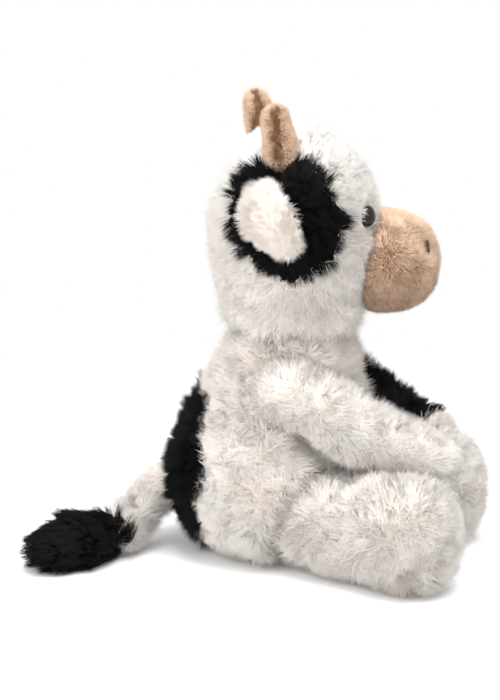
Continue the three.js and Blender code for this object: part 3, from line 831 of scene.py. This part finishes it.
def headComb(points, out):
    # the face pile is brushed away from the muzzle and the eyes
    way = np.tile(np.array(headFur["lay"], float), (len(points), 1))
    way = way + headRim(points)[:, None] * np.array((0, 0, headTrim["rimLean"]))
    wide, strength = headTrim["fromEye"]
    for eye in eyeSpots:
        away = points - np.array(eye["apex"])
        far = np.linalg.norm(away, axis=1, keepdims=True)
        way = way + unit(away) * ramp(1 - far / wide) * strength
    return way


headSkin = filledSkin("head_pelt", ["head_cover", "head_patch", "head_fill"], headForm)
headStrands = growPile(headSkin, headFur, headReach, headComb, crownLight)
headPatchComb = spreadFrom(headPatchCentre, panelSetup["spread"]["head"])
headBlackStrands = growPile(headSkin, {**patchFur, "seed": 51}, headPatchReach, headPatchComb)
headPatchSkin = panelSkin("head_patch_pelt", headSkin, lambda p, n: headPanel(p))
settle("head_pelt", headSkin, headStrands, 3, "head", whitePlush, ["head_cover", "head_fill"])
settle("head_patch_pelt", headPatchSkin, headBlackStrands, 4, "head", blackPlush, ["head_patch"])

# muzzle
muzzleForm = {
    "voxel": 0.0024, "sunk": 0.0016, "ease": 6, "cap": 0.0012, "seamWidth": 0.0015,
    "lumpSize": 0.014, "lumpHeight": 0.0006, "seed": 12,
}
velvet = {
    "density": 7.0, "length": 0.0038, "width": 0.0004, "belly": 0.8, "bent": False,
    "clumpShare": 0.03, "gather": 0.12, "curl": 0.1, "swirl": 0.5, "swirlSize": 0.010,
    "lay": (0, 0, -0.35), "leanMost": 0.8, "stray": 0.16, "tuftSize": 0.006, "tufts": 0.2, "round": 0.25, "roll": 0.3,
    "shadeSize": 0.010, "shadeSwing": 0.2, "shadeClump": 0.05, "shadeStrand": 0.12, "seed": 61,
}
# dark: the reach and strength of the painted shade round each nostril's pit
nostrilPit = {"reach": 0.0082, "depth": 0.0060, "steep": 1.5, "bare": (0.0026, 0.0046), "dark": (0.0075, 0.9)}
# low darkens the lower muzzle, partly its own colour and partly painted shade
muzzleTrim = {"head": (0.0015, 0.002), "tint": 0.14, "low": (0.150, 0.03, 0.6, 0.60)}
nostrilSpots = [sum(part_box("nostril_" + side), Vector()) / 2 for side in sides]


def nostrilGap(points):
    return np.min([farFrom(spot, points) for spot in nostrilSpots], axis=0)


def muzzleReach(points, out):
    gap, over = muzzleTrim["head"]
    open = ramp((depthIn(headTree, points) + gap) / over)
    bare, over = nostrilPit["bare"]
    return np.minimum(open, ramp((nostrilGap(points) - bare) / over))


def muzzleTone(points, out):
    # darker towards the bottom, partly the cover's own colour and partly painted shade under the muzzle, and painted
    # shade round each nostril's pit
    high, over, most, share = muzzleTrim["low"]
    low = np.clip((high - points[:, 2]) / over, -most, most)
    wide, dark = nostrilPit["dark"]
    return muzzleTrim["tint"] - low * share - ramp(1 - nostrilGap(points) / wide) * dark


muzzleSkin = filledSkin("muzzle_pelt", ["muzzle_cover", "muzzle_fill"], muzzleForm)
co = coordinates(muzzleSkin.data)
skinOut = normalsOf(muzzleSkin.data)
for spot in nostrilSpots:
    pressed = np.exp(-((farFrom(spot, co) / nostrilPit["reach"]) ** 2) * nostrilPit["steep"])
    co -= skinOut * (nostrilPit["depth"] * pressed)[:, None]
setCoordinates(muzzleSkin.data, co)
muzzleStrands = growPile(muzzleSkin, velvet, muzzleReach, None, muzzleTone)
settle("muzzle_pelt", muzzleSkin, muzzleStrands, 5, "head", tanPlush, ["muzzle_cover", "muzzle_fill"])

# horns
hornForm = {"voxel": 0.0016, "sunk": 0.0016, "ease": 3, "lumpSize": 0.008, "lumpHeight": 0.0005, "seed": 15}
hornFur = {
    **velvet, "length": 0.0024, "density": 9.0, "width": 0.00032, "lay": (0, 0, 0.5), "seed": 71,
    "clumpShare": 0.06, "gather": 0.12, "tufts": 0.1,
}
hornSeam = {
    # dark and width: the strength and breadth of the painted shade along the seam
    "ahead": 0.0012, "wave": (0.006, 0.0025), "tint": 0.36, "dark": 1.2, "width": 0.0018, "aside": 0.3, "up": 0.3,
    "darkSide": -0.3, "combedSide": -0.2,
}
for side in sides:
    names = ["horn_cover_" + side, "horn_fill_" + side]
    middle = sum(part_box(names[0]), Vector()) / 2

    def seamGap(points, middle=middle):
        size, most = hornSeam["wave"]
        return points[:, 0] - middle.x + hornSeam["ahead"] + softNoise(points, size, 17) * most

    def hornTone(points, out):
        # the pile parts along the seam on the outer side, and painted shade darkens it there, down in the parting
        part = hornSeam["dark"] * np.exp(-((seamGap(points) / hornSeam["width"]) ** 2))
        return hornSeam["tint"] - np.where(out[:, 1] < hornSeam["darkSide"], part, 0)

    def hornComb(points, out):
        aside = np.sign(seamGap(points))[:, None] * np.array([[hornSeam["aside"], 0, 0]])
        return aside * (out[:, 1] < hornSeam["combedSide"])[:, None] + np.array([0, 0, hornSeam["up"]])

    hornSkin = filledSkin("horn_pelt_" + side, names, hornForm)
    hornStrands = growPile(hornSkin, {**hornFur, "seed": 71 + (side == "left")}, None, hornComb, hornTone)
    settle("horn_pelt_" + side, hornSkin, hornStrands, 6, "head", tanPlush, names)

# ears
earForm = {"voxel": 0.0017, "sunk": 0.0008, "ease": 3, "lumpSize": 0.012, "lumpHeight": 0.0004, "seed": 19}
earFur = {
    **shaggy, "length": 0.0043, "density": 7.0, "width": 0.00038, "seed": 81, "swirl": 1.2, "tufts": 0.6,
    "lay": (0, 0, 0), "gather": 0.3, "stray": 0.35, "clumpShare": 0.024,
}
earKite = {
    "corners": ((-0.0098, 0.0202), (0.0163, 0.0068), (0.0117, -0.0192), (-0.0163, 0.0006)),
    "edges": (((0.457, 0.891), 0.008, 0.016), ((-0.577, -0.816), 0.005, 0.0125)),
    "tuft": 0.0055, "least": 0.8, "more": 0.95, "spread": (0.6, 0.2), "back": (-0.4, 0, 0),
    # tint, rim and tints set the painted shade over the ear
    "tint": -0.7, "rim": (0.018, 0.75, 0.8), "tints": (-0.5, 0.3), "outer": (1.35, 1.1, 0.15),
}


def onEar(points, middle):
    # how far ahead of the ear's middle and how high over it the points lie
    away = points - np.array(middle)
    return np.column_stack([away @ np.array(headAhead), away[:, 2]])


def trimEar(skin, middle):
    # the oval ear is drawn in along two of its edges, to a rounded kite
    co = coordinates(skin.data)
    flat = onEar(co, middle)
    for way, start, end in earKite["edges"]:
        reach = flat @ np.array(way)
        drawn = np.maximum(0, reach - start) * (1 - (end - start) / (reach.max() - start))
        flat = flat - drawn[:, None] * np.array(way)
        co = co - drawn[:, None] * (way[0] * np.array(headAhead) + way[1] * np.array((0, 0, 1)))
    setCoordinates(skin.data, co)


for side in sides:
    names = ["ear_outer_" + side, "ear_lining_" + side]
    earSkin = filledSkin("ear_pelt_" + side, names, earForm)
    earMiddle = sum(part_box(names[0]), Vector()) / 2
    trimEar(earSkin, earMiddle)

    def earReach(points, out, middle=earMiddle):
        flat = onEar(points, middle)
        near = sum(np.exp(-(((flat - np.array(c)) ** 2).sum(1) / earKite["tuft"] ** 2)) for c in earKite["corners"])
        most, steep, least = earKite["outer"]
        return earKite["least"] + earKite["more"] * near * np.clip(most - np.abs(out[:, 1]) * steep, least, 1)

    def earComb(points, out, middle=earMiddle):
        return spreadFrom(middle, *earKite["spread"])(points, out) + np.array(earKite["back"])

    def earShade(points, out, middle=earMiddle):
        # painted shade: the whole ear is darkened, and more towards its middle, where the curled pile shades it
        wide, start, share = earKite["rim"]
        far = np.linalg.norm((points - np.array(middle))[:, [0, 2]], axis=1) / wide
        return np.clip(far - start, *earKite["tints"]) * share + earKite["tint"]

    strands = growPile(earSkin, {**earFur, "seed": 81 + (side == "left")}, earReach, earComb, earShade)
    settle("ear_pelt_" + side, earSkin, strands, 7, "ear_" + side, whitePlush, names)

# arms
armForm = {
    "voxel": 0.0030, "sunk": 0.0030, "ease": 4, "cap": 0.0012, "seamWidth": 0.0018,
    "lumpSize": 0.018, "lumpHeight": 0.0010, "seed": 23,
}
armFur = {**shaggy, "length": 0.0072, "seed": 91, "lay": (0.3, 0, -0.2)}
armPatchTree, armCoverTree = treeOf("arm_patch_left"), treeOf("arm_cover_left")


def armPatchReach(points, out):
    return insidePanel(armPatchTree, armCoverTree, points, panelSetup["inset"])


def rootReach(points, out):
    # a limb's pile is longer where it meets the body's, and short in the hollow under the arm
    return longerWithin(np.abs(depthIn(torsoWhite, points))) * shortInNook(points)


limbWay = {"seam": 0.010, "over": 0.03, "lean": 0.45, "hand": 0.015, "foot": (0.02, 0.025, 0.027)}


def limbComb(root, end):
    # back over the seam at the root, where it meets the body's pile, and from there brushed towards the end
    root, end = np.array(root), np.array(end)
    down = unit((end - root)[None, :])

    def comb(points, out):
        along = (points - root) @ down[0]
        return down * limbWay["lean"] * np.clip((along - limbWay["seam"]) / limbWay["over"], -1, 1)[:, None]

    return comb


for side in sides:
    names = ["arm_cover_" + side, "arm_fill_" + side]
    patched = side == "left"
    armSkin = filledSkin("arm_pelt_" + side, names + (["arm_patch_left"] if patched else []), armForm)
    pressNook(armSkin)
    if patched:
        patchCentre = sum(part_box("arm_patch_left"), Vector()) / 2
        armPatchComb = spreadFrom(patchCentre, panelSetup["spread"]["arm"])
        blackStrands = growPile(armSkin, {**patchFur, "seed": 95}, armPatchReach, armPatchComb)
        armPanel = panelSkin("arm_patch_pelt", armSkin, armPatchReach)
        settle("arm_patch_pelt", armPanel, blackStrands, 9, "arm_left", blackPlush, ["arm_patch_left"])
    reach = (lambda p, n: (1 - armPatchReach(p, n)) * rootReach(p, n)) if patched else rootReach
    low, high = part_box("arm_cover_" + side)
    armComb = limbComb(onSide(shoulder, sides[side]), (high.x, (low.y + high.y) / 2, low.z + limbWay["hand"]))
    strands = growPile(armSkin, {**armFur, "seed": 91 + patched}, reach, armComb)
    settle("arm_pelt_" + side, armSkin, strands, 8, "arm_" + side, whitePlush, names)

# legs
legFur = {**shaggy, "length": 0.0078, "seed": 101, "lay": (0.25, 0, -0.3)}
for side in sides:
    names = ["leg_cover_" + side, "leg_fill_" + side]
    legSkin = filledSkin("leg_pelt_" + side, names, legForm)
    pressNook(legSkin)
    low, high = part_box("leg_cover_" + side)
    back, inward, up = limbWay["foot"]
    foot = (high.x - back, low.y + inward if side == "right" else high.y - inward, up)
    legComb = limbComb(onSide(hip, sides[side]), foot)
    strands = growPile(legSkin, {**legFur, "seed": 101 + (side == "left")}, rootReach, legComb)
    settle("leg_pelt_" + side, legSkin, strands, 10, "leg_" + side, whitePlush, names)

# tail and tuft
tailForm = {"voxel": 0.0020, "sunk": 0.0026, "ease": 3, "lumpSize": 0.010, "lumpHeight": 0.0006, "seed": 33}
tailFur = {**shaggy, "length": 0.0080, "seed": 111, "lay": (-0.3, -0.3, -0.2)}
tuftFur = {
    **shaggy, "length": 0.0115, "seed": 121, "density": 4.5, "bent": True, "gather": 0.7, "curl": 0.1,
    "swirl": 0.8, "stray": 0.25, "leanMost": 1.6, "lay": (-0.8, -0.75, 0.1),
}
tailSkin = filledSkin("tail_pelt", ["tail_cover", "tail_fill"], tailForm)
settle("tail_pelt", tailSkin, growPile(tailSkin, tailFur), 11, "tail", whitePlush, ["tail_cover", "tail_fill"])
tuftSkin = filledSkin("tuft_pelt", ["tuft_cover", "tuft_fill"], {**tailForm, "sunk": 0.0034, "seed": 35})
settle("tuft_pelt", tuftSkin, growPile(tuftSkin, tuftFur), 12, "tuft", blackPlush, ["tuft_cover", "tuft_fill"])
print("cow: all pelts grown")

# neck wadding
fibreLook = patterned("white polyester fibre", {
    "pattern": "TexNoise", "set": {"Scale": 900, "Detail": 5, "Distortion": 1.5},
    "colours": ((214, 212, 208), (248, 247, 245)), "bump": 0.0008, "shader": {"Roughness": 0.95},
})
wadForm = {"voxel": 0.0016, "sunk": 0.0006, "ease": 3, "lumpSize": 0.006, "lumpHeight": 0.0006, "seed": 41}
wadSkin = filledSkin("neck_wad", ["neck_fill"], wadForm)
wadSkin.data.uv_layers.new(name="OFBake")
wear(wadSkin, "neck", ("fibre", fibreLook), ["neck_fill"])

# eyes
eyeLook = patterned("black gloss plastic", {
    "pattern": "TexNoise", "set": {"Scale": 240, "Detail": 4}, "colours": ((7, 7, 8), (19, 17, 17)),
    "smear": (0.05, 0.16), "shader": {"Specular IOR Level": 0.36},
})
eyeShape = {
    "radius": 0.0059, "dome": 0.0048, "segments": 40, "rings": 20, "proud": 0.0004,
    "rim": 0.0012, "taper": 0.8, "smooth": 40,
}


def ballInEdit(segments, rings, radius):
    bpy.ops.mesh.primitive_uv_sphere_add(segments=segments, ring_count=rings, radius=radius, location=(0, 0, 0))
    ball = bpy.context.object
    bpy.ops.object.mode_set(mode="EDIT")
    bpy.ops.mesh.select_all(action="SELECT")
    return ball


for eye in eyeSpots:
    turn = eye["way"].to_track_quat("Z", "Y")
    centre = eye["apex"] - eye["way"] * (eyeShape["dome"] - eyeShape["proud"])
    dome = ballInEdit(eyeShape["segments"], eyeShape["rings"], eyeShape["radius"])
    dome.name = "eye_dome_" + eye["side"]
    bpy.ops.transform.resize(value=(1, 1, eyeShape["dome"] / eyeShape["radius"]))
    bpy.ops.mesh.bisect(plane_co=(0, 0, -eyeShape["rim"]), plane_no=(0, 0, 1), clear_inner=True, use_fill=True)
    bpy.ops.mesh.extrude_region_move(TRANSFORM_OT_translate={"value": (0, 0, -eyeShape["rim"])})
    foot = (0, 0, -2 * eyeShape["rim"])
    bpy.ops.transform.resize(value=(eyeShape["taper"], eyeShape["taper"], 1), center_override=foot)
    bpy.ops.object.mode_set(mode="OBJECT")
    dome.data.transform(Matrix.Translation(centre) @ turn.to_matrix().to_4x4())
    bpy.ops.object.shade_smooth_by_angle(angle=math.radians(eyeShape["smooth"]))
    wear(dome, "head", ("black_plastic", eyeLook), ["eye_" + eye["side"]])
print("cow: eyes set")

# nostril stitches
threadLook = patterned("brown sewing thread", {
    "pattern": "TexWave", "way": {"bands_direction": "DIAGONAL"}, "set": {"Scale": 900, "Distortion": 1.2},
    "colours": ((62, 42, 30), (104, 74, 54)), "bump": 0.0002, "shader": {"Roughness": 0.6},
})
stitchShape = {
    "long": 0.0076, "thick": 0.0007, "rows": 6, "gap": 0.0013, "droop": 0.0001, "sunk": 0.0018, "slant": 20,
    "shorter": 0.054, "segments": 8, "rings": 6,
}
muzzleMiddle = sum(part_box("muzzle_cover"), Vector()) / 2
for side, spot in zip(sides, nostrilSpots):
    outward = (spot - muzzleMiddle).normalized()
    outward = (outward + headAhead).normalized()
    rows = []
    for k in range(stitchShape["rows"]):
        away = k - (stitchShape["rows"] - 1) / 2
        reach = stitchShape["long"] * (1 - stitchShape["shorter"] * away * away)
        stitch = ballInEdit(stitchShape["segments"], stitchShape["rings"], stitchShape["thick"])
        bpy.ops.transform.resize(value=(1, reach / 2 / stitchShape["thick"], 1))
        bpy.ops.transform.translate(value=(away * stitchShape["gap"], 0, -abs(away) * stitchShape["droop"]))
        bpy.ops.object.mode_set(mode="OBJECT")
        rows.append(stitch)
    bundle = joined(rows)
    bundle.name = "nostril_stitches_" + side
    tilt = outward.to_track_quat("Z", "Y").to_matrix().to_4x4()
    slant = Matrix.Rotation(math.radians(stitchShape["slant"]), 4, "Z")
    bundle.data.transform(Matrix.Translation(spot - outward * stitchShape["sunk"]) @ tilt @ slant)
    bpy.ops.object.shade_smooth()
    wear(bundle, "head", ("brown_thread", threadLook), ["nostril_" + side])

# washers behind the eyes
washerLook = patterned("white moulded plastic", {
    "pattern": "TexNoise", "set": {"Scale": 1200},
    "colours": ((218, 218, 214), (238, 238, 235)), "shader": {"Roughness": 0.5},
})
for side in sides:
    nodes["eye_washer_" + side].data.materials.clear()
    nodes["eye_washer_" + side].data.materials.append(washerLook)

# floor, light and background
studio = {
    "world": 0.98, "floor": colour(252, 252, 252), "radius": 9, "drop": 0.0002, "fade": (0.16, 0.45),
    "aim": (0, 0, 0.1),
    "lamps": [
        {"name": "key", "turn": 25, "rise": 72, "distance": 1.5, "size": 1.0, "power": 21},
        {"name": "fill", "turn": -30, "rise": 25, "distance": 1.7, "size": 1.3, "power": 13},
        {"name": "back", "turn": 190, "rise": 45, "distance": 1.7, "size": 1.2, "power": 4},
    ],
}
for lamp in studio["lamps"]:
    data = bpy.data.lights.new(lamp["name"], "AREA")
    data.size = lamp["size"]
    data.energy = lamp["power"]
    placed(lamp["name"], data, lamp, studio["aim"])


def seenRays(tree):
    # the background shows to the camera, in gloss and through clear things, and doesn't light the object
    path = add(tree, "LightPath", {})
    total = path["Is Camera Ray"]
    for name in ("Is Glossy Ray", "Is Transmission Ray"):
        total = add(tree, "Math", {0: total, 1: path[name]}, operation="MAXIMUM")[0]
    return total


world = bpy.data.worlds.new("studio")
bpy.context.scene.world = world
world.use_nodes = True
tree = world.node_tree
tree.nodes.clear()
lit = add(tree, "Background", {"Color": (1, 1, 1, 1), "Strength": studio["world"]})[0]
seen = add(tree, "Background", {"Color": (1, 1, 1, 1)})[0]
mixed = add(tree, "MixShader", {0: seenRays(tree), 1: lit, 2: seen})[0]
feed(tree, tree.nodes.new("ShaderNodeOutputWorld"), {0: mixed})

ground = (0, 0, -studio["drop"])
bpy.ops.mesh.primitive_circle_add(vertices=96, radius=studio["radius"], fill_type="NGON", location=ground)
floor = bpy.context.object
floor.name = "studioFloor"
floorLook, tree = newMaterial("white studio floor")
white = {"Base Color": studio["floor"], "Roughness": 0.9, "Specular IOR Level": 0.1}
white = add(tree, "BsdfPrincipled", white)[0]
# away from the object the floor goes over to the white of the background
far = add(tree, "VectorMath", {0: add(tree, "TexCoord", {})["Object"]}, operation="LENGTH")["Value"]
fades = {"Value": far, "From Min": studio["fade"][0], "From Max": studio["fade"][1]}
fade = add(tree, "MapRange", fades, interpolation_type="SMOOTHSTEP")[0]
shown = add(tree, "Math", {0: seenRays(tree), 1: fade}, operation="MULTIPLY")[0]
cover(tree, add(tree, "MixShader", {0: shown, 1: white, 2: add(tree, "Emission", {})[0]}))
floor.data.materials.append(floorLook)

bpy.context.scene.view_settings.view_transform = "Standard"
print("cow: scene complete")
